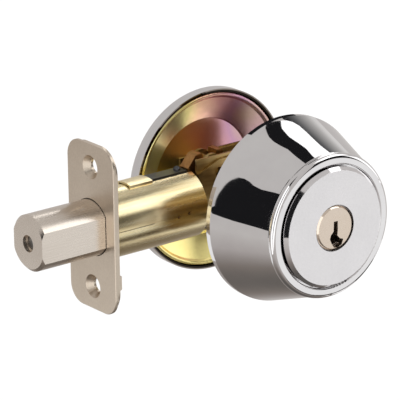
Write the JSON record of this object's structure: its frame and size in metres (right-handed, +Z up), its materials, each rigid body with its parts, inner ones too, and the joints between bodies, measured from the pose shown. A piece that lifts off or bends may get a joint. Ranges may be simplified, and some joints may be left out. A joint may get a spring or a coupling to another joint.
{
  "type": "deadbolt door lock",
  "caption": "Tubular deadbolt for a door: a thrown bolt and face plate on a tube case, a tapered key cylinder on one side and a round rose with a thumb-turn on the other.",
  "frame": {"origin": "crossing of the bolt's axis and the key and thumb-turn axis, in the hub of the bolt case", "axes": "+X is along the bolt, away from the face plate, so the bolt points to -X; +Y runs from the key side to the room side; +Z is up"},
  "size_m": [0.1175, 0.0879, 0.0636],
  "materials": {
    "satin_nickel": "satin nickel plate",
    "zinc": "as cast zinc",
    "yellow_dichromate": "yellow zinc dichromate on steel",
    "bronze_dichromate": "darker dichromate on steel",
    "hardened_steel": "plain steel",
    "dark_steel": "dark grey zinc plated steel",
    "spring_steel": "spring steel",
    "polished_chrome": "polished chrome plate",
    "satin_chrome": "satin chrome plate",
    "brass": "turned brass",
    "plug_nickel": "nickel plated brass",
    "nylon": "moulded nylon"
  },
  "bodies": {
    "lock_body": {"cylinder_shell": "satin_chrome", "collar_clip": "spring_steel", "collar_washer": "spring_steel", "pin_chamber_cover": "brass", "driver_pins": "brass", "pin_springs": "spring_steel", "reinforcing_plate": "yellow_dichromate", "side_plate_near": "yellow_dichromate", "side_plate_far": "yellow_dichromate", "side_cover_near": "yellow_dichromate", "side_cover_far": "yellow_dichromate", "case_rivets": "hardened_steel", "guide_sleeve": "dark_steel", "cam_spring": "spring_steel", "rose": "polished_chrome", "rose_plate": "yellow_dichromate", "mounting_screws": "hardened_steel", "turn_washer": "nylon"},
    "collar_ring": {"collar": "polished_chrome"},
    "key_plug": {"plug": "plug_nickel", "key_pins": "brass", "plug_clip": "spring_steel", "tail_cap": "brass"},
    "turn_train": {"thumb_turn": "polished_chrome", "turn_clip": "spring_steel", "tailpiece": "hardened_steel", "cam": "yellow_dichromate"},
    "bolt_tail": {"bolt_bar": "bronze_dichromate"},
    "dead_bolt": {"bolt_head": "satin_nickel"},
    "saw_pin": {"roller_pin": "hardened_steel"},
    "case_front": {"face_plate": "satin_nickel", "backing_plate": "satin_nickel", "bolt_case": "yellow_dichromate", "slot_strap": "yellow_dichromate", "front_bush": "zinc"}
  },
  "joints": [
    {"name": "turn", "type": "hinge", "parent": "lock_body", "child": "turn_train", "pos_m": [0, 0, 0], "axis": [0, 1, 0], "range_deg": [0, 90]},
    {"name": "key_turn", "type": "hinge", "parent": "lock_body", "child": "key_plug", "pos_m": [0, 0, 0], "axis": [0, 1, 0], "range_deg": [0, 90]},
    {"name": "bolt_throw", "type": "slide", "parent": "lock_body", "child": "bolt_tail", "axis": [1, 0, 0], "range_m": [0, 0.0254]},
    {"name": "backset_slide", "type": "slide", "parent": "lock_body", "child": "case_front", "axis": [-1, 0, 0], "range_m": [0, 0.0095]},
    {"name": "bolt_backset", "type": "slide", "parent": "bolt_tail", "child": "dead_bolt", "axis": [-1, 0, 0], "range_m": [0, 0.0095]},
    {"name": "saw_pin_spin", "type": "hinge", "parent": "dead_bolt", "child": "saw_pin", "pos_m": [-0.08, 0, 0], "axis": [1, 0, 0], "continuous": true},
    {"name": "collar_spin", "type": "hinge", "parent": "lock_body", "child": "collar_ring", "pos_m": [0, -0.035, 0], "axis": [0, 1, 0], "continuous": true}
  ],
  "couplings": [
    {"joint": "key_turn", "follows": "turn", "ratio": 1},
    {"joint": "bolt_throw", "follows": "turn", "m_per_rad": 0.01617},
    {"joint": "bolt_backset", "follows": "backset_slide", "ratio": 1}
  ]
}
